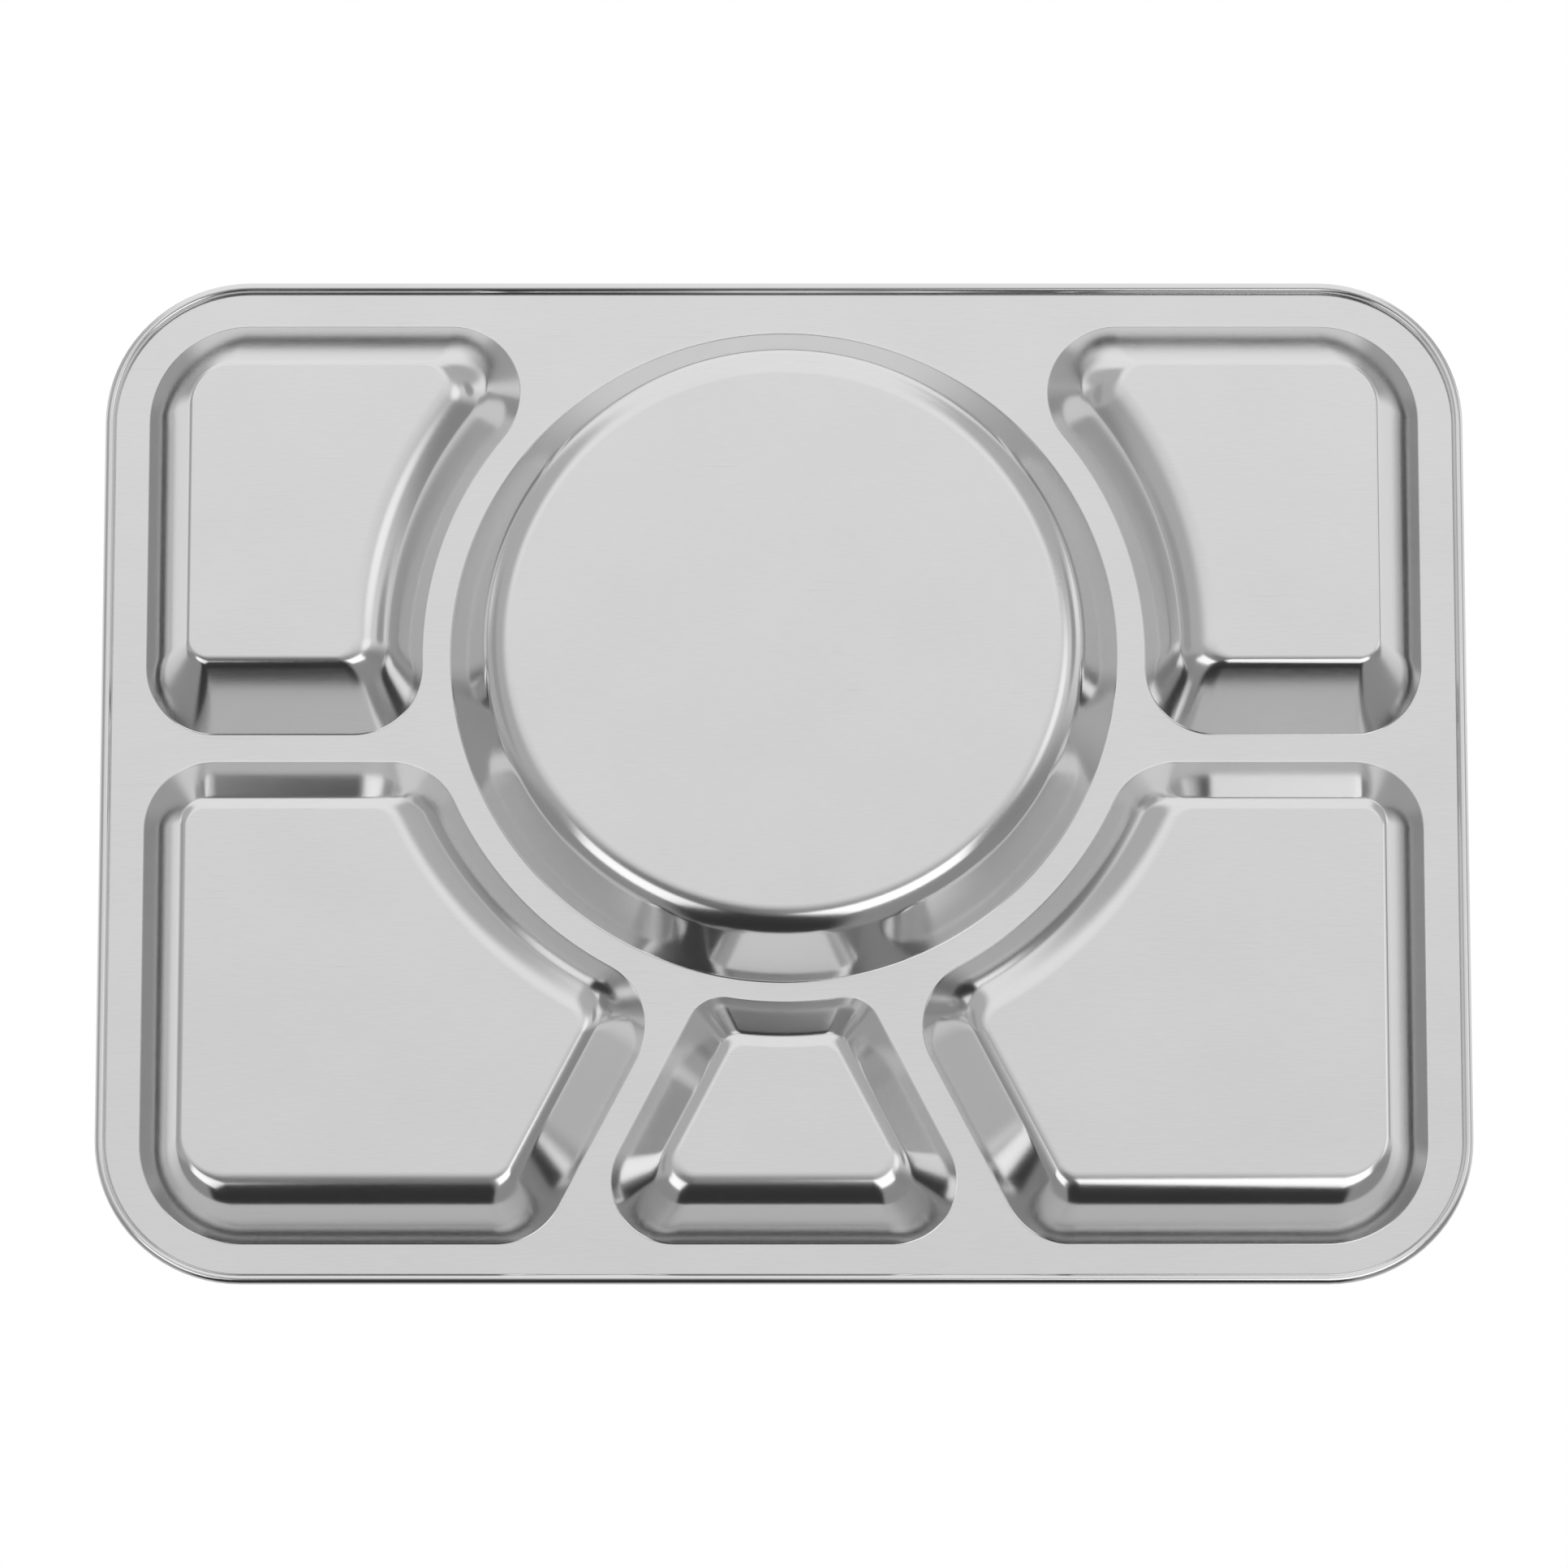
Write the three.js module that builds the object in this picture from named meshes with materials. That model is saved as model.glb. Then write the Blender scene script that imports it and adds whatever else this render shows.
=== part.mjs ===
import * as THREE from 'three';

// Six-compartment mess tray pressed from one stainless steel sheet, food side up, in millimetres.
// The origin is under the middle of the tray, on the plane that the round well stands on. +X is the long
// side, -Y the front. Well outlines are given where the underside of the deck and of a wall would meet unbent.

// Sheet
const TRAY_LENGTH = 394;
const TRAY_WIDTH = 295.3;
const TRAY_CORNER_RADIUS = 42;
const SHEET_THICKNESS = 0.8;

// Rolled edge
const CURL_RADIUS = 1.55;
const CURL_END_GAP = 0.9;

// Where the wells lie in the deck
const SIDE_BORDER = 12.9;
const REAR_BORDER = 12.7;
const FRONT_BORDER = 11.9;
const ROUND_WELL_RADIUS = 96.2;
const ROUND_WELL_BORDER = 14.9;
const RIB_WIDTH = 8.2;
const CENTRE_RIB_WIDTH = 5.9;
const CROSS_RIB_OFFSET = 9;
const FRONT_RIB_NECK = 56.4;
const FRONT_RIB_LEAN = THREE.MathUtils.degToRad(27.4);

// Corners of the well outlines, at the deck and at the floor
const OUTER_CORNER_RADIUS = 29;
const OUTER_FLOOR_CORNER_RADIUS = 16;
const INNER_CORNER_RADIUS = 20;
const INNER_FLOOR_CORNER_RADIUS = 10;
const CENTRE_REAR_CORNER_RADIUS = 10;
const CENTRE_FRONT_CORNER_RADIUS = 18;
const CENTRE_FLOOR_CORNER_RADIUS = 8;
const CENTRE_FLOOR_CORNER_SHARE = 0.35;

// Drawn walls: how deep, how far they lean in, and how tightly the sheet bends
const ROUND_WELL_DEPTH = 23;
const SMALL_WELL_DEPTH = 19;
const SIDE_WALL_RUN = 9.3;
const REAR_WALL_RUN = 10.7;
const FRONT_WALL_RUN = 13.2;
const RIB_WALL_RUN = 14.2;
const REAR_CROSS_WALL_RUN = 16.4;
const FRONT_CROSS_WALL_RUN = 13.9;
const CENTRE_RIB_WALL_RUN = 13.2;
const ROUND_WALL_RUN = 12;
const SHOULDER_BEND_RADIUS = 1.4;
const FLOOR_BEND_RADIUS = 7.2;
const ROUND_FLOOR_BEND_RADIUS = 9.2;
const WELL_MARGIN = 2;

// Facets
const CORNER_STEPS = 6;
const ARC_STEPS = 8;
const ROUND_STEPS = 60;
const SHOULDER_STEPS = 2;
const FLOOR_BEND_STEPS = 4;
const TRAY_CORNER_STEPS = 8;
const CURL_STEPS = 10;

const DECK_UNDERSIDE = ROUND_WELL_DEPTH;
const DECK_TOP = DECK_UNDERSIDE + SHEET_THICKNESS;
const REAR_LINE = TRAY_WIDTH / 2 - REAR_BORDER;
const FRONT_LINE = FRONT_BORDER - TRAY_WIDTH / 2;
const SIDE_LINE = TRAY_LENGTH / 2 - SIDE_BORDER;
const ROUND_CENTRE = new THREE.Vector2(0, TRAY_WIDTH / 2 - ROUND_WELL_BORDER - ROUND_WELL_RADIUS);

// A side of a well outline is a straight edge with its inward normal, or an arc that the well lies round.
function straightSide(x, y, inwardX, inwardY) {
  return { point: new THREE.Vector2(x, y), inward: new THREE.Vector2(inwardX, inwardY) };
}

function arcSide(centre, radius) {
  return { centre, radius };
}

function shifted(side, inwards) {
  if (side.centre) {
    return arcSide(side.centre, side.radius + inwards);
  }
  return { point: side.point.clone().addScaledVector(side.inward, inwards), inward: side.inward };
}

function nearestOn(side, point) {
  if (side.centre) {
    return point.clone().sub(side.centre).setLength(side.radius).add(side.centre);
  }
  return point.clone().addScaledVector(side.inward, side.point.clone().sub(point).dot(side.inward));
}

// Where two sides cross. An arc crosses a straight side twice, and the crossing nearer to the hint counts.
function crossing(first, second, hint) {
  if (first.centre) {
    return crossing(second, first, hint);
  }
  const along = new THREE.Vector2(-first.inward.y, first.inward.x);
  if (second.centre) {
    const foot = nearestOn(first, second.centre);
    const reach = Math.sqrt(second.radius ** 2 - foot.distanceToSquared(second.centre));
    const ahead = foot.clone().addScaledVector(along, reach);
    const behind = foot.clone().addScaledVector(along, -reach);
    return ahead.distanceTo(hint) < behind.distanceTo(hint) ? ahead : behind;
  }
  const gap = second.point.clone().sub(first.point).dot(second.inward);
  return first.point.clone().addScaledVector(along, gap / along.dot(second.inward));
}

// Points on the shorter arc from one point to another round a centre, both ends included.
function sweep(centre, from, to, steps) {
  const radius = from.distanceTo(centre);
  const start = from.clone().sub(centre).angle();
  const turn = to.clone().sub(centre).angle() - start;
  const shortTurn = Math.atan2(Math.sin(turn), Math.cos(turn));
  return Array.from({ length: steps + 1 }, (_, k) => {
    const angle = start + (shortTurn * k) / steps;
    return new THREE.Vector2(Math.cos(angle), Math.sin(angle)).multiplyScalar(radius).add(centre);
  });
}

// A closed outline with rounded corners: radii[k] rounds the corner between sides k and k + 1.
function outline(sides, radii, hint) {
  const after = (list, k) => list[(k + 1) % list.length];
  const corners = sides.map((side, k) => {
    const centre = crossing(shifted(side, radii[k]), shifted(after(sides, k), radii[k]), hint);
    return { centre, from: nearestOn(side, centre), to: nearestOn(after(sides, k), centre) };
  });
  return corners.flatMap((corner, k) => {
    const points = sweep(corner.centre, corner.from, corner.to, CORNER_STEPS);
    const next = after(sides, k);
    if (next.centre) {
      points.push(...sweep(next.centre, corner.to, after(corners, k).from, ARC_STEPS).slice(1, -1));
    }
    return points;
  });
}

// The two loops that a well is drawn between: its outline at the deck and the foot of its walls.
function wellLoops(sides, runs, deckRadii, floorRadii, hint) {
  const feet = sides.map((side, k) => shifted(side, runs[k]));
  return { deck: outline(sides, deckRadii, hint), floor: outline(feet, floorRadii, hint) };
}

function mirrored(loops) {
  const flip = (loop) => loop.map((point) => new THREE.Vector2(-point.x, point.y)).reverse();
  return { deck: flip(loops.deck), floor: flip(loops.floor) };
}

// A closed solid through rings of points, each ring counter-clockwise from above. The rings run clockwise
// round the section; an open row of rings is closed by a flat cap at each end.
function solidThrough(rings, endless) {
  const count = rings[0].length;
  const indices = [];
  const bands = endless ? rings.length : rings.length - 1;
  for (let band = 0; band < bands; band += 1) {
    const here = band * count;
    const there = ((band + 1) % rings.length) * count;
    for (let i = 0; i < count; i += 1) {
      const j = (i + 1) % count;
      indices.push(here + i, there + i, there + j);
      indices.push(here + i, there + j, here + j);
    }
  }
  if (!endless) {
    const last = (rings.length - 1) * count;
    for (const [a, b, c] of THREE.ShapeUtils.triangulateShape(rings[0], [])) {
      indices.push(a, b, c);
      indices.push(last + c, last + b, last + a);
    }
  }
  const geometry = new THREE.BufferGeometry().setFromPoints(rings.flat());
  geometry.setIndex(indices);
  return geometry;
}

// One drawn well: a flat margin in the deck, the shoulder bend, a straight wall, the floor bend, the floor.
function wellGeometry({ deck, floor }, depth, bendRadius) {
  const footHeight = DECK_UNDERSIDE - depth + SHEET_THICKNESS + bendRadius;
  const rows = deck.map((edge, i) => {
    const inward = floor[i].clone().sub(edge);
    const run = inward.length();
    inward.normalize();
    const slope = Math.atan2(depth, run);
    const half = Math.tan(slope / 2);
    const shoulder = { s: -SHOULDER_BEND_RADIUS * half, z: DECK_UNDERSIDE - SHOULDER_BEND_RADIUS };
    const foot = { s: run + (bendRadius + SHEET_THICKNESS) * half, z: footHeight };
    const place = (s, z) => new THREE.Vector3(edge.x + inward.x * s, edge.y + inward.y * s, z);
    const bend = (centre, radius, angle) =>
      place(centre.s + radius * Math.sin(angle), centre.z + radius * Math.cos(angle));
    const food = [place(-WELL_MARGIN, DECK_TOP)];
    const under = [place(-WELL_MARGIN, DECK_UNDERSIDE)];
    for (let k = 0; k <= SHOULDER_STEPS; k += 1) {
      const angle = (slope * k) / SHOULDER_STEPS;
      food.push(bend(shoulder, SHOULDER_BEND_RADIUS + SHEET_THICKNESS, angle));
      under.push(bend(shoulder, SHOULDER_BEND_RADIUS, angle));
    }
    for (let k = FLOOR_BEND_STEPS; k >= 0; k -= 1) {
      const angle = (slope * k) / FLOOR_BEND_STEPS;
      food.push(bend(foot, -bendRadius, angle));
      under.push(bend(foot, -bendRadius - SHEET_THICKNESS, angle));
    }
    return [...food.reverse(), ...under];
  });
  return solidThrough(rows[0].map((_, k) => rows.map((row) => row[k])), false);
}

// The edge of a well's flat margin, which is also the edge of its hole in the deck.
function marginLoop({ deck, floor }) {
  return deck.map((edge, i) => {
    const inward = floor[i].clone().sub(edge).normalize();
    return edge.clone().addScaledVector(inward, -WELL_MARGIN);
  });
}

// Rounded rectangle that the deck ends on, where the rolled edge starts.
function deckLoop() {
  const cornerX = TRAY_LENGTH / 2 - TRAY_CORNER_RADIUS;
  const cornerY = TRAY_WIDTH / 2 - TRAY_CORNER_RADIUS;
  const radius = TRAY_CORNER_RADIUS - CURL_RADIUS;
  const signs = [[1, -1], [1, 1], [-1, 1], [-1, -1]];
  return signs.flatMap(([signX, signY], quarter) =>
    Array.from({ length: TRAY_CORNER_STEPS + 1 }, (_, k) => {
      const angle = (Math.PI / 2) * (quarter - 1 + k / TRAY_CORNER_STEPS);
      const outward = new THREE.Vector2(Math.cos(angle), Math.sin(angle));
      const point = new THREE.Vector2(signX * cornerX, signY * cornerY).addScaledVector(outward, radius);
      return { point, outward };
    }),
  );
}

// The deck plate: the flat land round and between the wells.
function deckGeometry(loops) {
  const shape = new THREE.Shape(deckLoop().map(({ point }) => point));
  shape.holes = loops.map((loop) => new THREE.Path(marginLoop(loop)));
  const plate = new THREE.ExtrudeGeometry(shape, { depth: SHEET_THICKNESS, bevelEnabled: false });
  return plate.translate(0, 0, DECK_UNDERSIDE);
}

// The rolled edge: the sheet curls over, down and back under the deck, and stops short of it.
function rimGeometry() {
  const middle = DECK_TOP - CURL_RADIUS;
  const bore = CURL_RADIUS - SHEET_THICKNESS;
  const rise = Math.asin((bore - CURL_END_GAP) / CURL_RADIUS);
  const sweepAngle = 1.5 * Math.PI + rise;
  const section = [];
  for (let k = 0; k <= CURL_STEPS; k += 1) {
    section.push([CURL_RADIUS, (sweepAngle * k) / CURL_STEPS]);
  }
  for (let k = CURL_STEPS; k >= 0; k -= 1) {
    section.push([bore, (sweepAngle * k) / CURL_STEPS]);
  }
  const loop = deckLoop();
  const rings = section.map(([radius, angle]) =>
    loop.map(({ point, outward }) => {
      const across = point.clone().addScaledVector(outward, radius * Math.sin(angle));
      return new THREE.Vector3(across.x, across.y, middle + radius * Math.cos(angle));
    }),
  );
  return solidThrough(rings, true);
}

// The round well for the main dish.
function roundWellLoops() {
  const circle = (radius) =>
    Array.from({ length: ROUND_STEPS }, (_, k) => {
      const angle = (2 * Math.PI * k) / ROUND_STEPS;
      return new THREE.Vector2(Math.cos(angle), Math.sin(angle)).multiplyScalar(radius).add(ROUND_CENTRE);
    });
  return { deck: circle(ROUND_WELL_RADIUS), floor: circle(ROUND_WELL_RADIUS - ROUND_WALL_RUN) };
}

// The sides that neighbouring wells share out between them.
const roundRib = arcSide(ROUND_CENTRE, ROUND_WELL_RADIUS + RIB_WIDTH);
const centreRib = arcSide(ROUND_CENTRE, ROUND_WELL_RADIUS + CENTRE_RIB_WIDTH);
const outerSide = straightSide(-SIDE_LINE, 0, 1, 0);
const rearSide = straightSide(0, REAR_LINE, 0, -1);
const frontSide = straightSide(0, FRONT_LINE, 0, 1);
const crossRibRear = straightSide(0, CROSS_RIB_OFFSET + RIB_WIDTH / 2, 0, 1);
const crossRibFront = straightSide(0, CROSS_RIB_OFFSET - RIB_WIDTH / 2, 0, -1);
const slantX = Math.cos(FRONT_RIB_LEAN);
const slantY = Math.sin(FRONT_RIB_LEAN);
const neckHalf = FRONT_RIB_NECK / 2;
const neckLine = ROUND_CENTRE.y - ROUND_WELL_RADIUS - RIB_WIDTH / 2;
const slantRibSide = shifted(straightSide(-neckHalf, neckLine, -slantX, slantY), RIB_WIDTH / 2);
const slantRibLeft = shifted(straightSide(-neckHalf, neckLine, slantX, -slantY), RIB_WIDTH / 2);
const slantRibRight = shifted(straightSide(neckHalf, neckLine, -slantX, -slantY), RIB_WIDTH / 2);

const leftEdge = new THREE.Vector2(-SIDE_LINE, CROSS_RIB_OFFSET);
const frontMiddle = new THREE.Vector2(0, FRONT_LINE);

const rearLoops = wellLoops(
  [crossRibRear, roundRib, rearSide, outerSide],
  [REAR_CROSS_WALL_RUN, RIB_WALL_RUN, REAR_WALL_RUN, SIDE_WALL_RUN],
  [INNER_CORNER_RADIUS, INNER_CORNER_RADIUS, OUTER_CORNER_RADIUS, INNER_CORNER_RADIUS],
  [
    INNER_FLOOR_CORNER_RADIUS,
    INNER_FLOOR_CORNER_RADIUS,
    OUTER_FLOOR_CORNER_RADIUS,
    INNER_FLOOR_CORNER_RADIUS,
  ],
  leftEdge,
);

const frontLoops = wellLoops(
  [frontSide, slantRibSide, roundRib, crossRibFront, outerSide],
  [FRONT_WALL_RUN, RIB_WALL_RUN, RIB_WALL_RUN, FRONT_CROSS_WALL_RUN, SIDE_WALL_RUN],
  [INNER_CORNER_RADIUS, INNER_CORNER_RADIUS, INNER_CORNER_RADIUS, INNER_CORNER_RADIUS, OUTER_CORNER_RADIUS],
  [
    INNER_FLOOR_CORNER_RADIUS,
    INNER_FLOOR_CORNER_RADIUS,
    INNER_FLOOR_CORNER_RADIUS,
    INNER_FLOOR_CORNER_RADIUS,
    OUTER_FLOOR_CORNER_RADIUS,
  ],
  leftEdge,
);

// In a short centre well the corners of the floor take no more than a share of its length.
const centreFloorFront = FRONT_LINE + FRONT_WALL_RUN;
const centreFloorRear = ROUND_CENTRE.y - centreRib.radius - CENTRE_RIB_WALL_RUN;
const centreFloorCorner = Math.min(
  CENTRE_FLOOR_CORNER_RADIUS,
  (centreFloorRear - centreFloorFront) * CENTRE_FLOOR_CORNER_SHARE,
);
const centreLoops = wellLoops(
  [frontSide, slantRibRight, centreRib, slantRibLeft],
  [FRONT_WALL_RUN, CENTRE_RIB_WALL_RUN, CENTRE_RIB_WALL_RUN, CENTRE_RIB_WALL_RUN],
  [
    CENTRE_FRONT_CORNER_RADIUS,
    CENTRE_REAR_CORNER_RADIUS,
    CENTRE_REAR_CORNER_RADIUS,
    CENTRE_FRONT_CORNER_RADIUS,
  ],
  [centreFloorCorner, centreFloorCorner, centreFloorCorner, centreFloorCorner],
  frontMiddle,
);

const wells = [
  { name: 'round_well', loops: roundWellLoops() },
  { name: 'rear_left_well', loops: rearLoops },
  { name: 'rear_right_well', loops: mirrored(rearLoops) },
  { name: 'front_left_well', loops: frontLoops },
  { name: 'front_right_well', loops: mirrored(frontLoops) },
  { name: 'front_centre_well', loops: centreLoops },
];

const satinSteel = () => new THREE.MeshStandardMaterial({ color: 0xcdcdcc, metalness: 1, roughness: 0.28 });

const tray = new THREE.Group();
tray.name = 'mess_tray';

function addPiece(name, geometry) {
  const mesh = new THREE.Mesh(geometry, satinSteel());
  mesh.name = name;
  tray.add(mesh);
}

addPiece('deck_plate', deckGeometry(wells.map(({ loops }) => loops)));
addPiece('rolled_rim', rimGeometry());
const [roundWell, ...smallWells] = wells;
addPiece(roundWell.name, wellGeometry(roundWell.loops, ROUND_WELL_DEPTH, ROUND_FLOOR_BEND_RADIUS));
for (const { name, loops } of smallWells) {
  addPiece(name, wellGeometry(loops, SMALL_WELL_DEPTH, FLOOR_BEND_RADIUS));
}

export default tray;
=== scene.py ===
import math

import bmesh
import bpy
from mathutils import Matrix, Vector


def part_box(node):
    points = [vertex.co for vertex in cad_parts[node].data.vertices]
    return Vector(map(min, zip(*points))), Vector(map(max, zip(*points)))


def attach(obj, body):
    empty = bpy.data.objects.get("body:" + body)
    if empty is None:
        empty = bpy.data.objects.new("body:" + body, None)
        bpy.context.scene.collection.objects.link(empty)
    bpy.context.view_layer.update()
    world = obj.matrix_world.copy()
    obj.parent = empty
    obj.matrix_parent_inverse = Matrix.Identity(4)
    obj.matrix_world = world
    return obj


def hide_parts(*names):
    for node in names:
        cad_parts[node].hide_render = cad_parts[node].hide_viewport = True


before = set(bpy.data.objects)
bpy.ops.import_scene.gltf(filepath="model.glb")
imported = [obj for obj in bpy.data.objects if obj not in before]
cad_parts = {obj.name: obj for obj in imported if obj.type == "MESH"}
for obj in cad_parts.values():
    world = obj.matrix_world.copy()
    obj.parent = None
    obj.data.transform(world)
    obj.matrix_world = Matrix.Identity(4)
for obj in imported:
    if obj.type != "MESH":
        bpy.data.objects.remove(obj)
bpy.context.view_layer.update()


# Round well: the deep dish for the main course, drawn by a round punch from 0.8 mm stainless sheet.
# A narrow flat margin joins it to the deck, a tight bend leads into the leaning wall, and a wide
# bend leads from the wall into the flat floor that the tray stands on.
MM = 0.001
UP = Vector((0, 0, 1))
SHEET = 0.8 * MM
MARGIN = 2 * MM
SHOULDER_BEND = 0.7 * MM
SHOULDER_SEGMENTS = 6
FLOOR_SEGMENTS = 14
WALL_SEGMENTS = 4
ROUND_STEPS = 192
SHARP_FOLD = math.radians(40)
GRAIN_UV = "grain"

# The patterns in the steel are noise, with so many waves to the metre along and across the tray.
STEEL_COLOUR = (0.77, 0.77, 0.77)
STEEL_ANISOTROPY = 0.6
GRAIN_WAVES = (220, 3200)
CLOUD_WAVES = (26, 34)
HAIRLINE_WAVES = (34, 1500)
USUAL_NOISE = (0.3, 0.7)
HIGHEST_NOISE = (0.72, 0.8)
FAINT_SHADE = (0.985, 1.015)
HAIRLINE_SHADE = (1, 0.96)
GRAIN_ROUGHNESS = (0.14, 0.165)
CLOUD_ROUGHNESS = (-0.01, 0.01)
GRAIN_RELIEF = 0.03
GRAIN_DEPTH = 0.05 * MM

round_low, round_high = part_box("round_well")
DECK_UNDERSIDE = round_high.z - SHEET
ROUND_CENTRE = Vector(((round_low.x + round_high.x) / 2, (round_low.y + round_high.y) / 2, 0))
ROUND_RADIUS = (round_high.x - round_low.x) / 2 - MARGIN


def map_range(tree, value, source, target, interpolation="LINEAR"):
    """Carries a value in a node tree from one range over to another."""
    node = tree.nodes.new("ShaderNodeMapRange")
    node.interpolation_type = interpolation
    tree.links.new(value, node.inputs["Value"])
    for name, number in zip(("From Min", "From Max", "To Min", "To Max"), source + target):
        node.inputs[name].default_value = number
    return node.outputs["Result"]


def make_satin_steel():
    """Cold-rolled stainless steel: a fine grain along the tray, with faint clouding."""
    material = bpy.data.materials.new("satin_steel")
    material.use_nodes = True
    tree = material.node_tree
    nodes, links = tree.nodes, tree.links
    shader = nodes["Principled BSDF"]
    shader.inputs["Metallic"].default_value = 1
    shader.inputs["Anisotropic"].default_value = STEEL_ANISOTROPY
    tangent = nodes.new("ShaderNodeTangent")
    tangent.direction_type = "UV_MAP"
    tangent.uv_map = GRAIN_UV
    links.new(tangent.outputs["Tangent"], shader.inputs["Tangent"])
    place = nodes.new("ShaderNodeTexCoord").outputs["Object"]

    def pattern(waves, detail):
        along, across = waves
        stretch = nodes.new("ShaderNodeMapping")
        stretch.inputs["Scale"].default_value = (along, across, across)
        links.new(place, stretch.inputs["Vector"])
        noise = nodes.new("ShaderNodeTexNoise")
        noise.inputs["Scale"].default_value = 1
        noise.inputs["Detail"].default_value = detail
        links.new(stretch.outputs["Vector"], noise.inputs["Vector"])
        return noise.outputs["Fac"]

    def combine(first, second, operation):
        node = nodes.new("ShaderNodeMath")
        node.operation = operation
        links.new(first, node.inputs[0])
        links.new(second, node.inputs[1])
        return node.outputs["Value"]

    grain = pattern(GRAIN_WAVES, detail=1)
    clouds = pattern(CLOUD_WAVES, detail=3)
    hairlines = pattern(HAIRLINE_WAVES, detail=1)
    shade = map_range(tree, grain, USUAL_NOISE, FAINT_SHADE)
    shade = combine(shade, map_range(tree, clouds, USUAL_NOISE, FAINT_SHADE), "MULTIPLY")
    shade = combine(shade, map_range(tree, hairlines, HIGHEST_NOISE, HAIRLINE_SHADE), "MULTIPLY")
    tint = nodes.new("ShaderNodeVectorMath")
    tint.operation = "SCALE"
    tint.inputs[0].default_value = STEEL_COLOUR
    links.new(shade, tint.inputs["Scale"])
    links.new(tint.outputs["Vector"], shader.inputs["Base Color"])
    roughness = map_range(tree, grain, USUAL_NOISE, GRAIN_ROUGHNESS)
    unevenness = map_range(tree, clouds, USUAL_NOISE, CLOUD_ROUGHNESS)
    links.new(combine(roughness, unevenness, "ADD"), shader.inputs["Roughness"])
    relief = nodes.new("ShaderNodeBump")
    relief.inputs["Strength"].default_value = GRAIN_RELIEF
    relief.inputs["Distance"].default_value = GRAIN_DEPTH
    links.new(grain, relief.inputs["Height"])
    links.new(relief.outputs["Normal"], shader.inputs["Normal"])
    return material


satin_steel = make_satin_steel()


def add_piece(name, bm, node):
    """Turns a finished sheet of faces into the steel piece that stands for a node of the frame."""
    bm.normal_update()
    bmesh.ops.solidify(bm, geom=bm.faces[:], thickness=SHEET)
    for edge in bm.edges:
        edge.smooth = edge.calc_face_angle(0) < SHARP_FOLD
    across_grain = bm.loops.layers.uv.new(GRAIN_UV)
    for face in bm.faces:
        face.smooth = True
        for corner in face.loops:
            corner[across_grain].uv = (corner.vert.co.y, corner.vert.co.x)
    mesh = bpy.data.meshes.new(name)
    bm.to_mesh(mesh)
    bm.free()
    mesh.materials.append(satin_steel)
    piece = bpy.data.objects.new(name, mesh)
    bpy.context.scene.collection.objects.link(piece)
    flats = piece.modifiers.new("flats stay flat", "WEIGHTED_NORMAL")
    flats.keep_sharp = True
    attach(piece, "root")
    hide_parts(node)


def loop_edges(bm, loop):
    return [bm.edges.get(pair) for pair in zip(loop, loop[1:] + loop[:1])]


def leaning_wall(depth, slope, bend):
    """A wall by its depth, its slope in degrees and the bend at its foot in millimetres."""
    return {"depth": depth, "slope": math.radians(slope), "bend": bend * MM}


def run(wall):
    """How far a wall leads in from the edge of its well, the bend at its foot included."""
    return wall["depth"] / math.tan(wall["slope"]) + wall["bend"] * math.tan(wall["slope"] / 2)


def lean(wall, drop):
    """How far a wall has come in at a depth below the deck."""
    height = wall["depth"] - drop
    if height < wall["bend"] * (1 - math.cos(wall["slope"])):
        return run(wall) - math.sqrt(height * (2 * wall["bend"] - height))
    return drop / math.tan(wall["slope"])


def drops(wall):
    """Depths from the deck to the floor, close together where the wall bends into the floor."""
    angles = [wall["slope"] * (1 - k / FLOOR_SEGMENTS) for k in range(FLOOR_SEGMENTS + 1)]
    bend = [wall["depth"] - wall["bend"] * (1 - math.cos(angle)) for angle in angles]
    return [bend[0] * k / WALL_SEGMENTS for k in range(WALL_SEGMENTS)] + bend


def draw_well(bm, rings, slope):
    """Draws the sheet down through rings: margin, edge of the deck, and the wall to the floor."""
    loops = [loop_edges(bm, ring) for ring in rings]
    for upper, lower in zip(loops, loops[1:]):
        bmesh.ops.bridge_loops(bm, edges=upper + lower)
    floor, = bmesh.ops.contextual_create(bm, geom=loops[-1])["faces"]
    bmesh.ops.recalc_face_normals(bm, faces=bm.faces)
    if floor.normal.z > 0:
        bmesh.ops.reverse_faces(bm, faces=bm.faces)
    bmesh.ops.bevel(
        bm, geom=loops[1], affect="EDGES", offset_type="OFFSET",
        offset=SHOULDER_BEND * math.tan(slope / 2), segments=SHOULDER_SEGMENTS,
        profile=0.5, material=-1, clamp_overlap=False,
    )


def draw_circle(bm, radius, height):
    place = Matrix.Translation(ROUND_CENTRE + UP * height)
    return bmesh.ops.create_circle(bm, segments=ROUND_STEPS, radius=radius, matrix=place)["verts"]


ROUND_WALL = leaning_wall(DECK_UNDERSIDE - round_low.z, 62.2, 9.7)

round_sheet = bmesh.new()
round_rings = [draw_circle(round_sheet, ROUND_RADIUS + MARGIN, DECK_UNDERSIDE)]
for drop in drops(ROUND_WALL):
    radius = ROUND_RADIUS - lean(ROUND_WALL, drop)
    round_rings.append(draw_circle(round_sheet, radius, DECK_UNDERSIDE - drop))
draw_well(round_sheet, round_rings, ROUND_WALL["slope"])
add_piece("round_dish", round_sheet, "round_well")


# Rear side wells: one each side of the round well, for bread and a side dish, drawn in the same
# pressing. Each has three straight walls and one that follows the round well at the width of a
# rib. Like the front wells they are shallower than the round one, and their floors hang free.
RIB_WIDTH = 8.2 * MM
OUTER_CORNER = 29 * MM
OUTER_FLOOR_CORNER = 11 * MM
INNER_CORNER = 20 * MM
INNER_FLOOR_CORNER = 5 * MM
CORNER_STEPS = 20
ARC_STEPS = 48

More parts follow.
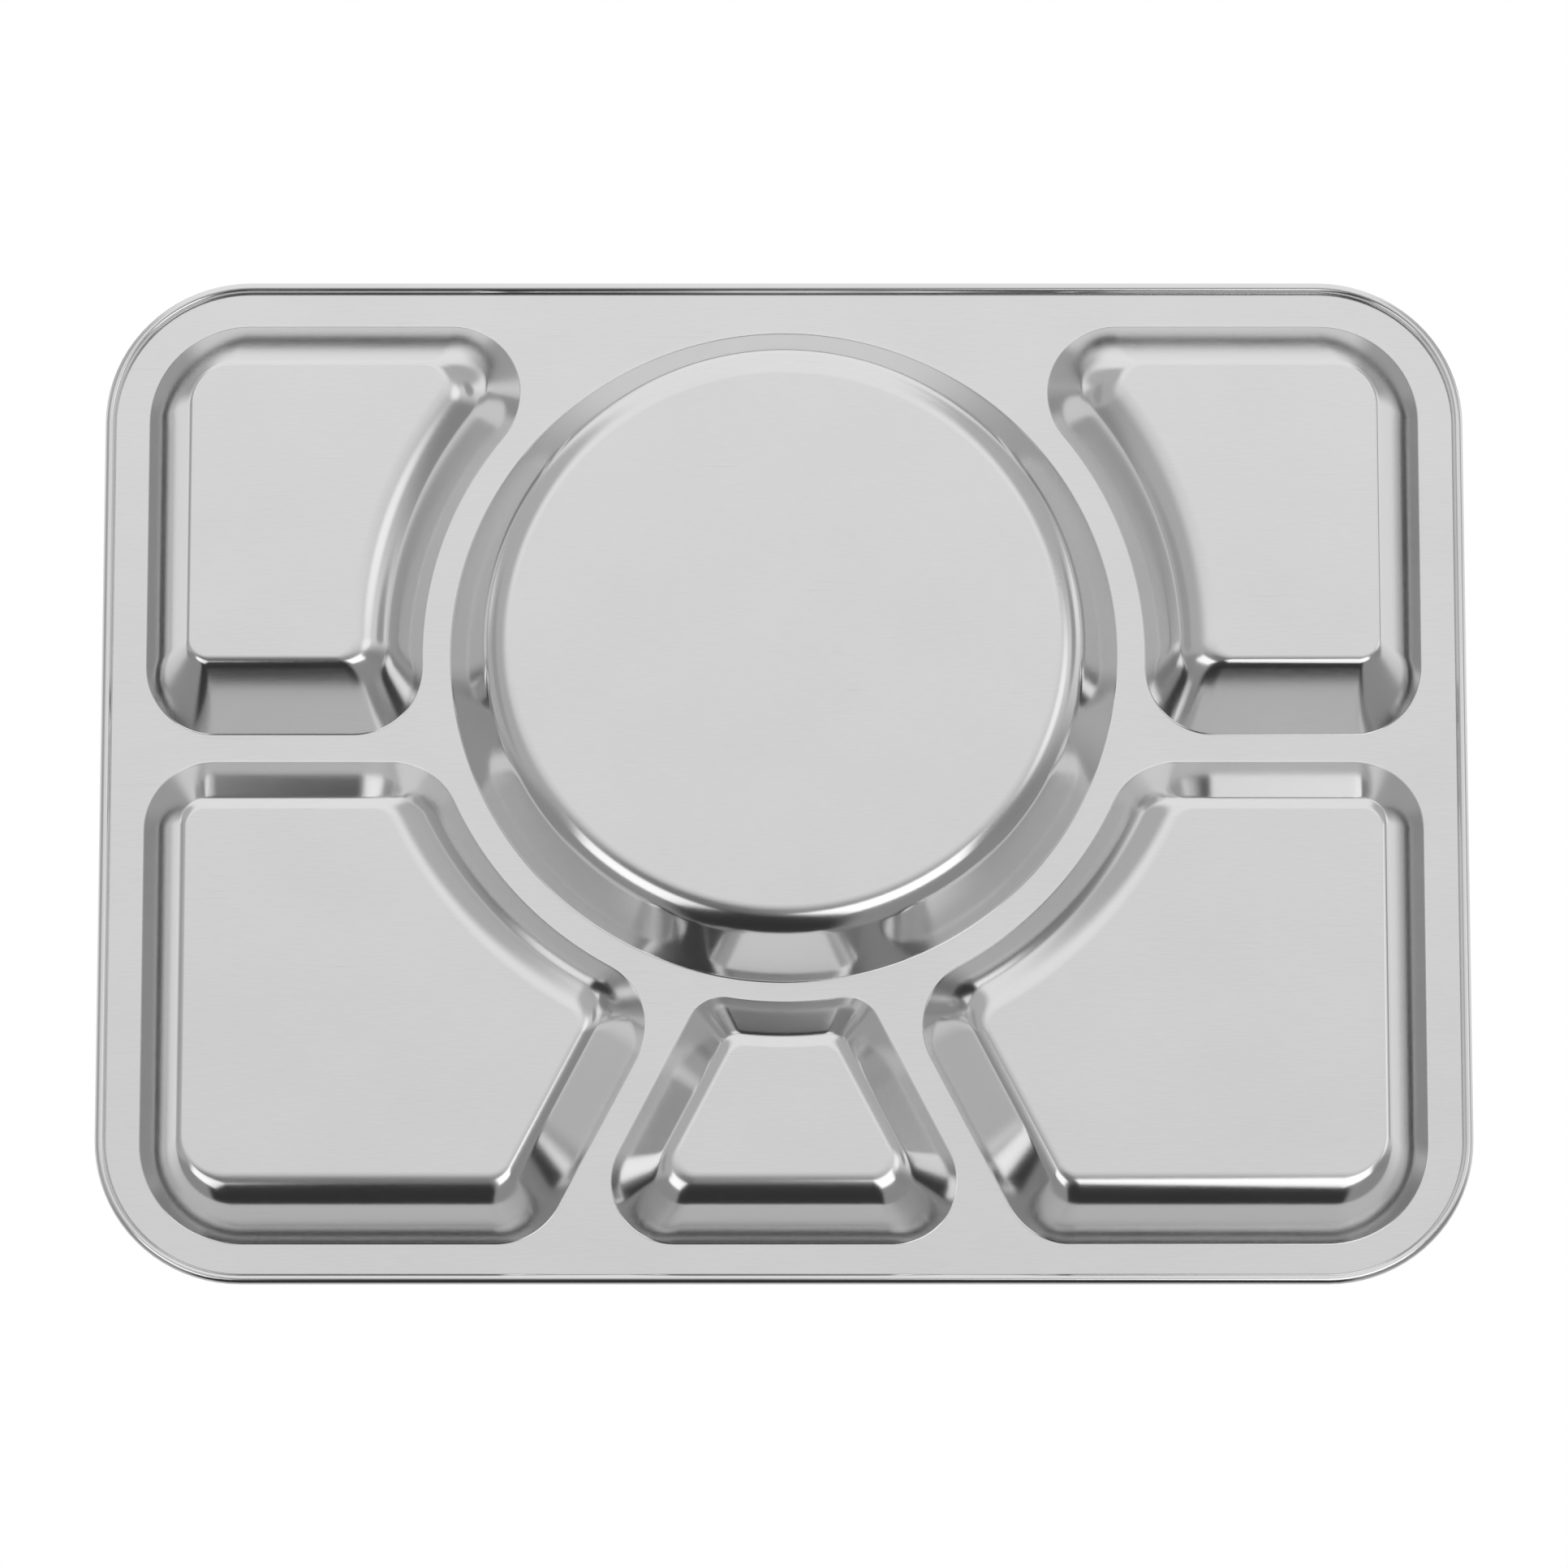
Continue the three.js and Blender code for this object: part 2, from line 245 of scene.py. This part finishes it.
rear_low, rear_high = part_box("rear_left_well")
front_low, front_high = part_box("front_left_well")
SMALL_DEPTH = DECK_UNDERSIDE - rear_low.z
SIDE_WALL = leaning_wall(SMALL_DEPTH, 56, 1.5)
REAR_WALL = leaning_wall(SMALL_DEPTH, 50, 1.5)
RIB_WALL = leaning_wall(SMALL_DEPTH, 60, 15.5)
REAR_CROSS_WALL = leaning_wall(SMALL_DEPTH, 48, 4.5)


def straight_side(x, y, inward_x, inward_y):
    return {"point": Vector((x, y, 0)), "inward": Vector((inward_x, inward_y, 0))}


def moved(side, inwards):
    if "radius" in side:
        return {"radius": side["radius"] + inwards}
    return {"point": side["point"] + side["inward"] * inwards, "inward": side["inward"]}


def nearest(side, point):
    if "radius" in side:
        return ROUND_CENTRE + (point - ROUND_CENTRE).normalized() * side["radius"]
    return point + side["inward"] * (side["point"] - point).dot(side["inward"])


def crossing(first, second, near):
    """Where two sides meet. A curve meets a straight one twice, and the point by near counts."""
    if "radius" in first:
        first, second = second, first
    along = first["inward"].cross(UP)
    if "radius" in second:
        foot = nearest(first, ROUND_CENTRE)
        reach = math.sqrt(second["radius"] ** 2 - (foot - ROUND_CENTRE).length_squared)
        ends = foot + along * reach, foot - along * reach
        return min(ends, key=lambda end: (end - near).length)
    gap = (second["point"] - first["point"]).dot(second["inward"])
    return first["point"] + along * (gap / along.dot(second["inward"]))


def turn(bm, pen, centre, stop, steps):
    """Spins a vertex round a centre until it reaches stop, and returns the row that it leaves."""
    start, end = pen.co - centre, stop - centre
    angle = math.atan2(start.cross(end).z, start.dot(end))
    bmesh.ops.spin(bm, geom=[pen], cent=centre, axis=UP, angle=angle, steps=steps)
    bm.verts.ensure_lookup_table()
    return bm.verts[-steps:]


def draw_outline(bm, sides, radii, near, height):
    """Draws a closed outline, radii[k] rounding the corner after sides[k]; returns its vertices."""
    followers = sides[1:] + sides[:1]
    corners = []
    for side, follower, radius in zip(sides, followers, radii):
        centre = crossing(moved(side, radius), moved(follower, radius), near)
        corners.append((centre, nearest(side, centre), nearest(follower, centre)))
    starts = [start for _, start, _ in corners]
    loop = [bm.verts.new(starts[0])]
    for (centre, _, stop), follower, onward in zip(corners, followers, starts[1:] + starts[:1]):
        loop += turn(bm, loop[-1], centre, stop, CORNER_STEPS)
        if "radius" in follower:
            loop += turn(bm, loop[-1], ROUND_CENTRE, onward, ARC_STEPS)
        else:
            loop += bmesh.ops.extrude_vert_indiv(bm, verts=[loop[-1]])["verts"]
            loop[-1].co = onward
    bmesh.ops.weld_verts(bm, targetmap={loop.pop(): loop[0]})
    bmesh.ops.translate(bm, verts=loop, vec=UP * height)
    return loop


def draw_margin(bm, well):
    """The outer edge of a well's flat margin, which is also the edge of the deck round it."""
    sides = [moved(side, -MARGIN) for side in well["sides"]]
    radii = [radius + MARGIN for radius in well["corners"]]
    return draw_outline(bm, sides, radii, well["near"], DECK_UNDERSIDE)


def draw_side_well(well):
    """The sheet of a well whose walls lean and bend each in its own way, ring by ring."""
    bm = bmesh.new()
    rings = [draw_margin(bm, well)]
    walls = well["walls"]
    widest_bend = max(walls, key=lambda wall: wall["bend"])
    for drop in drops(widest_bend):
        leans = [lean(wall, drop) for wall in walls]
        sides = [moved(side, inwards) for side, inwards in zip(well["sides"], leans)]
        done = [inwards / run(wall) for inwards, wall in zip(leans, walls)]
        shares = [(this + after) / 2 for this, after in zip(done, done[1:] + done[:1])]
        radii = []
        for start, stop, share in zip(well["corners"], well["floor_corners"], shares):
            radii.append(start + (stop - start) * share)
        rings.append(draw_outline(bm, sides, radii, well["near"], DECK_UNDERSIDE - drop))
    draw_well(bm, rings, walls[0]["slope"])
    return bm


def mirror_image(bm):
    """The same sheet for the other half of the tray."""
    other = bm.copy()
    bmesh.ops.scale(other, verts=other.verts, vec=(-1, 1, 1))
    bmesh.ops.reverse_faces(other, faces=other.faces)
    return other


round_rib = {"radius": ROUND_RADIUS + RIB_WIDTH}
outer_side = straight_side(rear_low.x + MARGIN, 0, 1, 0)
left_edge = Vector((rear_low.x, (rear_low.y + front_high.y) / 2, 0))
rear_well = {
    "sides": [
        straight_side(0, rear_low.y + MARGIN, 0, 1),
        round_rib,
        straight_side(0, rear_high.y - MARGIN, 0, -1),
        outer_side,
    ],
    "walls": [REAR_CROSS_WALL, RIB_WALL, REAR_WALL, SIDE_WALL],
    "corners": [INNER_CORNER, INNER_CORNER, OUTER_CORNER, INNER_CORNER],
    "floor_corners": [
        INNER_FLOOR_CORNER, INNER_FLOOR_CORNER, OUTER_FLOOR_CORNER, INNER_FLOOR_CORNER,
    ],
    "near": left_edge,
}
rear_sheet = draw_side_well(rear_well)
add_piece("rear_right_dish", mirror_image(rear_sheet), "rear_right_well")
add_piece("rear_left_dish", rear_sheet, "rear_left_well")


# Front side wells: the two largest side wells, in the front corners, for vegetables. Drawn in the
# same pressing, each with a slanted wall along the rib beside the front centre well and a curved
# one along the round well's rib.
FRONT_WALL = leaning_wall(SMALL_DEPTH, 59, 10.5)
FRONT_SIDE_WALL = leaning_wall(SMALL_DEPTH, 58, 3)
SLANTED_WALL = leaning_wall(SMALL_DEPTH, 53.5, 6)
FRONT_CROSS_WALL = leaning_wall(SMALL_DEPTH, 51, 5.5)
FRONT_RIB_NECK = 56.4 * MM
FRONT_RIB_LEAN = math.radians(27.4)

front_side = straight_side(0, front_low.y + MARGIN, 0, 1)
neck_line = ROUND_CENTRE.y - ROUND_RADIUS - RIB_WIDTH / 2
lean_x, lean_y = math.cos(FRONT_RIB_LEAN), math.sin(FRONT_RIB_LEAN)
front_well = {
    "sides": [
        front_side,
        moved(straight_side(-FRONT_RIB_NECK / 2, neck_line, -lean_x, lean_y), RIB_WIDTH / 2),
        round_rib,
        straight_side(0, front_high.y - MARGIN, 0, -1),
        outer_side,
    ],
    "walls": [FRONT_WALL, SLANTED_WALL, RIB_WALL, FRONT_CROSS_WALL, FRONT_SIDE_WALL],
    "corners": [INNER_CORNER] * 4 + [OUTER_CORNER],
    "floor_corners": [INNER_FLOOR_CORNER] * 4 + [OUTER_FLOOR_CORNER],
    "near": left_edge,
}
front_sheet = draw_side_well(front_well)
add_piece("front_right_dish", mirror_image(front_sheet), "front_right_well")
add_piece("front_left_dish", front_sheet, "front_left_well")


# Front centre well: the small dish for dessert or relish between the slanted ribs, drawn in the
# same pressing. Its rear wall follows the round well, and its rear corners are tighter than its
# front ones.
CENTRE_RIB_WIDTH = 5.9 * MM
CENTRE_FRONT_CORNER = 18 * MM
CENTRE_REAR_CORNER = 10 * MM
CENTRE_FLOOR_CORNER = 5 * MM

centre_well = {
    "sides": [
        front_side,
        moved(straight_side(FRONT_RIB_NECK / 2, neck_line, -lean_x, -lean_y), RIB_WIDTH / 2),
        {"radius": ROUND_RADIUS + CENTRE_RIB_WIDTH},
        moved(straight_side(-FRONT_RIB_NECK / 2, neck_line, lean_x, -lean_y), RIB_WIDTH / 2),
    ],
    "walls": [FRONT_WALL, SLANTED_WALL, SLANTED_WALL, SLANTED_WALL],
    "corners": [CENTRE_FRONT_CORNER, CENTRE_REAR_CORNER, CENTRE_REAR_CORNER, CENTRE_FRONT_CORNER],
    "floor_corners": [CENTRE_FLOOR_CORNER] * 4,
    "near": Vector((0, front_low.y, 0)),
}
add_piece("front_centre_dish", draw_side_well(centre_well), "front_centre_well")


# Deck: the flat land round and between the wells, left at the height of the sheet before pressing.
# It ends on a rounded rectangle where the rolled edge starts.
TRAY_CORNER = 42 * MM
CURL_RADIUS = 1.55 * MM

rim_low, rim_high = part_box("rolled_rim")
deck_sides = [
    straight_side(0, rim_low.y + CURL_RADIUS, 0, 1),
    straight_side(rim_high.x - CURL_RADIUS, 0, -1, 0),
    straight_side(0, rim_high.y - CURL_RADIUS, 0, -1),
    straight_side(rim_low.x + CURL_RADIUS, 0, 1, 0),
]
deck_corners = [TRAY_CORNER - CURL_RADIUS] * 4
deck = bmesh.new()
draw_outline(deck, deck_sides, deck_corners, Vector(), DECK_UNDERSIDE)
draw_circle(deck, ROUND_RADIUS + MARGIN, DECK_UNDERSIDE)
for well in (rear_well, front_well):
    left = draw_margin(deck, well)
    hole = loop_edges(deck, left)
    right = bmesh.ops.duplicate(deck, geom=left + hole)["geom"]
    right = [part for part in right if isinstance(part, bmesh.types.BMVert)]
    bmesh.ops.scale(deck, verts=right, vec=(-1, 1, 1))
draw_margin(deck, centre_well)
bmesh.ops.triangle_fill(deck, edges=deck.edges[:], use_beauty=True, normal=-UP)
if deck.faces[:][0].normal.z > 0:
    bmesh.ops.reverse_faces(deck, faces=deck.faces)
add_piece("deck_land", deck, "deck_plate")


# Rolled edge: the sheet's border curled over, down and back under the deck on a beading roller, so
# that no raw edge is left where hands hold the tray. It stops just short of the deck's underside.
CURL_GAP = 0.9 * MM
CURL_STEPS = 20
RIM_CORNER_STEPS = 20
RIM_SIDE_STEPS = 24
WELD_DISTANCE = 0.01 * MM

curl_middle = rim_high.z - CURL_RADIUS
curl_bore = CURL_RADIUS - SHEET
curl_sweep = 1.5 * math.pi + math.asin((curl_bore - CURL_GAP) / CURL_RADIUS)
rim = bmesh.new()
corner_x = rim_high.x - TRAY_CORNER
corner_y = rim_high.y - TRAY_CORNER
pen = rim.verts.new((rim_high.x - CURL_RADIUS, -corner_y, rim_high.z))
curl_centre = Vector((pen.co.x, pen.co.y, curl_middle))
bmesh.ops.spin(
    rim, geom=[pen], cent=curl_centre, axis=(0, 1, 0), angle=curl_sweep, steps=CURL_STEPS,
)
section = rim.verts[:] + rim.edges[:]
straights = [Vector((0, 2 * corner_y, 0)), Vector((-2 * corner_x, 0, 0))]
straights += [-straight for straight in straights]
for straight, (sign_x, sign_y) in zip(straights, ((1, 1), (-1, 1), (-1, -1), (1, -1))):
    section = bmesh.ops.spin(
        rim, geom=section, cent=(0, 0, 0), axis=UP, angle=0,
        dvec=straight / RIM_SIDE_STEPS, steps=RIM_SIDE_STEPS,
    )["geom_last"]
    section = bmesh.ops.spin(
        rim, geom=section, cent=(sign_x * corner_x, sign_y * corner_y, 0), axis=UP,
        angle=math.pi / 2, steps=RIM_CORNER_STEPS,
    )["geom_last"]
bmesh.ops.remove_doubles(rim, verts=rim.verts, dist=WELD_DISTANCE)
bmesh.ops.recalc_face_normals(rim, faces=rim.faces)
add_piece("rolled_edge", rim, "rolled_rim")


# Studio: a pale floor that shows from above only, a white backdrop, two soft lamps, and the camera
# under the tray, which shows the tray's underside as if it lay upside down on a table. The room is
# there as the steel mirrors it: it brightens to the rear, and +Z looks at the table.
FLOOR_SIZE = 4
FLOOR_COLOUR = (0.9, 0.9, 0.9, 1)
CAMERA_BELOW = math.radians(77.47)
CAMERA_DISTANCE = 2.8161
CAMERA_VIEW = math.radians(9.17)
CAMERA_REACH = 20
CAMERA_TARGET = Vector((0, -1.52 * MM, DECK_UNDERSIDE))
BACKDROP_LIGHT = 1.0
FRONT_TO_MIDDLE = (-0.25, 0.16)
FRONT_TO_MIDDLE_LIGHT = (0.3, 0.78)
MIDDLE_TO_REAR = (0.17, 0.32)
REAR_LIGHT = 0.93
TABLE_EDGE = (0.14, 0.2)
TABLE_FRONT_TO_REAR = (-0.6, 0.6)
TABLE_LIGHT = (0.58, 0.95)

# Ovals in the room: the turn from the tray's front and the angle from straight down, both of the
# middle, half the width and height, all in degrees, then the brightness and the part that fades.
# Left and right are as the camera sees them.
ROOM_OVALS = (
    (-128, 62, 24, 46, 0.5, 0.4),  # dim wall, rear left
    (134, 62, 24, 46, 0.5, 0.4),  # dim wall, rear right
    (100, 33, 14, 13, 1.12, 0.6),  # small lamp, right
    (-94, 62, 24, 48, 0.48, 0.4),  # dim wall, left
    (-98, 64, 22, 12, 0.38, 0.5),  # darker band across it
    (107, 63, 15, 12, 0.35, 0.5),  # dark gap, right
    (140, 80, 25, 20, 0.48, 0.7),  # dim corner, rear right, near the table
    (66, 54, 10, 36, 0.28, 0.5),  # dark gap, front right
    (-32, 20, 14, 15, 0.2, 0.6),  # dark gap beside the camera
    (-6, 74, 24, 75, 0.035, 0.3),  # black gap, front
)
TABLE_OVALS = (
    (135, 116, 28, 24, 0.4, 0.6),  # shade, rear right
    (-135, 116, 28, 24, 0.4, 0.6),  # shade, rear left
)


def towards(azimuth, angle):
    """A direction by its turn from the tray's front and its angle from straight down."""
    azimuth, angle = math.radians(azimuth), math.radians(angle)
    sideways = Vector((-math.sin(azimuth), -math.cos(azimuth), 0))
    return sideways * math.sin(angle) - UP * math.cos(angle)


def facing(axis):
    """The turn that carries +Z to a direction and keeps +X level."""
    level = UP.cross(axis).normalized()
    return Matrix((level, axis.cross(level), axis)).transposed()


def make_studio():
    """A white room with soft lamps and dark gaps between them, as the steel mirrors it."""
    world = bpy.data.worlds.new("studio")
    world.use_nodes = True
    tree = world.node_tree
    nodes, links = tree.nodes, tree.links
    way = nodes.new("ShaderNodeTexCoord").outputs["Generated"]
    axes = nodes.new("ShaderNodeSeparateXYZ")
    links.new(way, axes.inputs[0])

    def ramp(value, source, target=(0, 1)):
        return map_range(tree, value, source, target, "SMOOTHSTEP")

    def mix(share, first, second):
        node = nodes.new("ShaderNodeMix")
        links.new(share, node.inputs["Factor"])
        for socket, value in ((node.inputs["A"], first), (node.inputs["B"], second)):
            if isinstance(value, (int, float)):
                socket.default_value = value
            else:
                links.new(value, socket)
        return node.outputs["Result"]

    def lay_oval(light, azimuth, angle, wide, tall, brightness, edge):
        """Lays an oval lamp or dark gap over the light so far."""
        axis = towards(azimuth, angle)
        place = nodes.new("ShaderNodeMapping")
        place.vector_type = "TEXTURE"
        place.inputs["Location"].default_value = axis
        place.inputs["Rotation"].default_value = facing(axis).to_euler()
        spread = (math.sin(math.radians(wide)), math.sin(math.radians(tall)), 1)
        place.inputs["Scale"].default_value = spread
        links.new(way, place.inputs["Vector"])
        oval = nodes.new("ShaderNodeTexGradient")
        oval.gradient_type = "SPHERICAL"
        links.new(place.outputs["Vector"], oval.inputs["Vector"])
        return mix(ramp(oval.outputs["Fac"], (0, edge)), light, brightness)

    light = ramp(axes.outputs["Y"], FRONT_TO_MIDDLE, FRONT_TO_MIDDLE_LIGHT)
    light = mix(ramp(axes.outputs["Y"], MIDDLE_TO_REAR), light, REAR_LIGHT)
    for oval in ROOM_OVALS:
        light = lay_oval(light, *oval)
    table = ramp(axes.outputs["Y"], TABLE_FRONT_TO_REAR, TABLE_LIGHT)
    light = mix(ramp(axes.outputs["Z"], TABLE_EDGE), light, table)
    for oval in TABLE_OVALS:
        light = lay_oval(light, *oval)
    path = nodes.new("ShaderNodeLightPath")
    light = mix(path.outputs["Is Camera Ray"], light, BACKDROP_LIGHT)
    links.new(light, nodes["Background"].inputs["Color"])
    return world


bpy.context.scene.world = make_studio()


def add_floor():
    """A pale table top that shows from above only, so that the camera below sees past it."""
    bm = bmesh.new()
    bmesh.ops.create_grid(bm, x_segments=1, y_segments=1, size=FLOOR_SIZE)
    mesh = bpy.data.meshes.new("floor")
    bm.to_mesh(mesh)
    bm.free()
    material = bpy.data.materials.new("floor")
    material.use_nodes = True
    nodes, links = material.node_tree.nodes, material.node_tree.links
    paint = nodes["Principled BSDF"]
    paint.inputs["Base Color"].default_value = FLOOR_COLOUR
    paint.inputs["Roughness"].default_value = 1
    paint.inputs["Specular IOR Level"].default_value = 0
    side = nodes.new("ShaderNodeNewGeometry")
    choice = nodes.new("ShaderNodeMixShader")
    links.new(side.outputs["Backfacing"], choice.inputs["Fac"])
    links.new(paint.outputs["BSDF"], choice.inputs[1])
    links.new(nodes.new("ShaderNodeBsdfTransparent").outputs["BSDF"], choice.inputs[2])
    links.new(choice.outputs["Shader"], nodes["Material Output"].inputs["Surface"])
    mesh.materials.append(material)
    floor = bpy.data.objects.new("floor", mesh)
    bpy.context.scene.collection.objects.link(floor)
    floor.visible_glossy = False
    floor.visible_diffuse = False
    floor.visible_transmission = False
    floor.visible_shadow = False


add_floor()


def add_softbox(name, azimuth, angle, wide, tall, brightness):
    """Hangs a lamp of so many metres by so many a metre from the tray, facing it."""
    lamp = bpy.data.lights.new(name, "AREA")
    lamp.shape = "RECTANGLE"
    lamp.size, lamp.size_y = wide, tall
    lamp.energy = brightness * wide * tall * math.pi
    box = bpy.data.objects.new(name, lamp)
    axis = towards(azimuth, angle)
    box.matrix_world = Matrix.Translation(axis + UP * DECK_UNDERSIDE) @ facing(axis).to_4x4()
    bpy.context.scene.collection.objects.link(box)


add_softbox("right_softbox", 35, 33, 0.46, 0.46, 1.15)
add_softbox("left_softbox", -42, 45, 0.45, 0.46, 1.0)

camera_data = bpy.data.cameras.new("camera")
camera_data.sensor_fit = "HORIZONTAL"
camera_data.angle = CAMERA_VIEW
camera_data.clip_end = CAMERA_REACH
camera = bpy.data.objects.new("camera", camera_data)
bpy.context.scene.collection.objects.link(camera)
back = Vector((0, -math.cos(CAMERA_BELOW), -math.sin(CAMERA_BELOW)))
right = Vector((-1, 0, 0))
turned = Matrix((right, back.cross(right), back)).transposed().to_4x4()
camera.matrix_world = Matrix.Translation(CAMERA_TARGET + back * CAMERA_DISTANCE) @ turned
bpy.context.scene.camera = camera
bpy.context.scene.view_settings.view_transform = "Standard"
